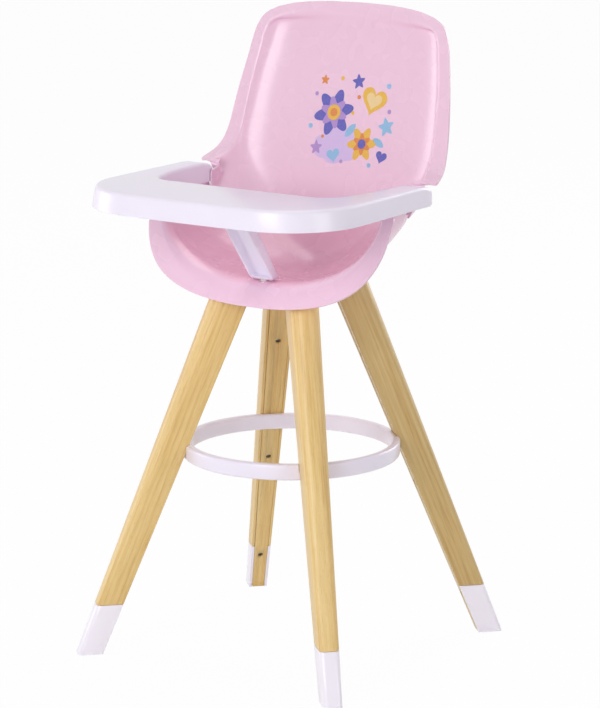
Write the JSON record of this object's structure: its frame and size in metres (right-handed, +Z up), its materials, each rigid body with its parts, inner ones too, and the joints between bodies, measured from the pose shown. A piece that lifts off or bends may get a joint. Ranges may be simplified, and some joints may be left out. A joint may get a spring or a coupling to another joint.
{
  "type": "doll high chair",
  "caption": "Doll high chair with a moulded bucket seat, splayed wooden legs, a round footrest ring and a flip-up tray with a crotch post.",
  "frame": {"origin": "middle of the outline on the floor, at the height of the feet's soles", "axes": "+Z up; the chair faces -Y; +X is the right-hand side of a viewer who stands in front"},
  "size_m": [0.3406, 0.3637, 0.68],
  "materials": {
    "shell": "satin moulded pink plastic",
    "tray": "satin moulded pale lilac plastic",
    "wood": "clear-coated light wood with a fine grain",
    "steel": "plain steel screws"
  },
  "bodies": {
    "stand": {"seat_shell": "shell", "footrest_ring": "tray", "leg_casing_front_right": "wood", "leg_cover_front_right": "wood", "foot_tip_front_right": "tray", "leg_screw_a_front_right": "steel", "leg_screw_b_front_right": "steel", "leg_screw_c_front_right": "steel", "leg_screw_d_front_right": "steel", "leg_casing_rear_right": "wood", "leg_cover_rear_right": "wood", "foot_tip_rear_right": "tray", "leg_screw_a_rear_right": "steel", "leg_screw_b_rear_right": "steel", "leg_screw_c_rear_right": "steel", "leg_screw_d_rear_right": "steel", "leg_casing_rear_left": "wood", "leg_cover_rear_left": "wood", "foot_tip_rear_left": "tray", "leg_screw_a_rear_left": "steel", "leg_screw_b_rear_left": "steel", "leg_screw_c_rear_left": "steel", "leg_screw_d_rear_left": "steel", "leg_casing_front_left": "wood", "leg_cover_front_left": "wood", "foot_tip_front_left": "tray", "leg_screw_a_front_left": "steel", "leg_screw_b_front_left": "steel", "leg_screw_c_front_left": "steel", "leg_screw_d_front_left": "steel"},
    "tray": {"tray": "tray", "crotch_post": "tray", "post_screw_right": "steel", "post_screw_left": "steel"}
  },
  "joints": [
    {"name": "tray_hinge", "type": "hinge", "parent": "stand", "child": "tray", "pos_m": [0, 0.04033, 0.4965], "axis": [-1, 0, 0], "range_deg": [0, 90]}
  ]
}
